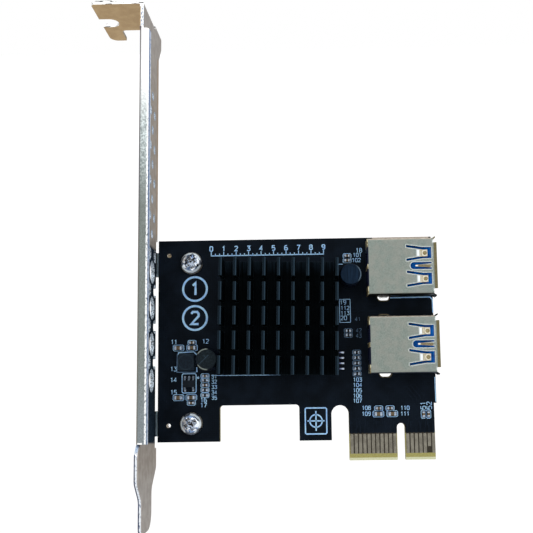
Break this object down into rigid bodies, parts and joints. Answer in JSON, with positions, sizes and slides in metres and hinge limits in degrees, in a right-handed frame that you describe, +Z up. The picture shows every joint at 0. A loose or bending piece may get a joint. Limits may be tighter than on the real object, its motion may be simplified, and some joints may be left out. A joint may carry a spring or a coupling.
{
  "type": "riser card",
  "caption": "Small expansion card with a folded steel bracket, a finned cooler, a notched plug-in edge and side-facing rectangular ports.",
  "frame": {"origin": "centre of the key notch on the bottom edge of the card edge, in the middle of the board's thickness", "axes": "X along the card from the bracket to the ports, Y from the component side into the board, Z up out of the slot"},
  "size_m": [0.0788, 0.0235, 0.12],
  "materials": {
    "solder_mask": "near black satin lacquer over glass fibre laminate",
    "gold": "thin gold plating",
    "bracket_steel": "plated folded steel sheet",
    "screw_nickel": "bright nickel plate",
    "black_anodised": "black anodised extrusion",
    "thermal_silicone": "soft filled silicone",
    "chip_plastic": "moulded black epoxy",
    "tin_plate": "tin plate",
    "ferrite": "dark ferrite",
    "can_sleeve": "dark sleeved aluminium",
    "bung_rubber": "black rubber",
    "ceramic_tan": "brown sintered ceramic",
    "resistor_black": "black glazed ceramic",
    "port_nickel": "satin nickel plated sheet",
    "port_blue": "blue moulded plastic"
  },
  "bodies": {
    "root": {"bracket": "bracket_steel", "bracket_screws": "screw_nickel", "capacitor_bungs": "bung_rubber", "capacitor_cans": "can_sleeve", "capacitor_leads": "tin_plate", "ceramic_bodies": "ceramic_tan", "ceramic_ends": "tin_plate", "circuit_board": "solder_mask", "cooler": "black_anodised", "edge_contacts_back": "gold", "edge_contacts_front": "gold", "inductor_core": "ferrite", "inductor_terminals": "tin_plate", "lower_port_contacts": "gold", "lower_port_fast_contacts": "gold", "lower_port_insulator": "port_blue", "lower_port_shell": "port_nickel", "main_chip": "chip_plastic", "main_chip_pads": "tin_plate", "memory_chip": "chip_plastic", "memory_leads": "tin_plate", "regulator_chip": "chip_plastic", "regulator_leads": "tin_plate", "resistor_bodies": "resistor_black", "resistor_ends": "tin_plate", "thermal_pad": "thermal_silicone", "upper_port_contacts": "gold", "upper_port_fast_contacts": "gold", "upper_port_insulator": "port_blue", "upper_port_shell": "port_nickel"}
  },
  "joints": []
}
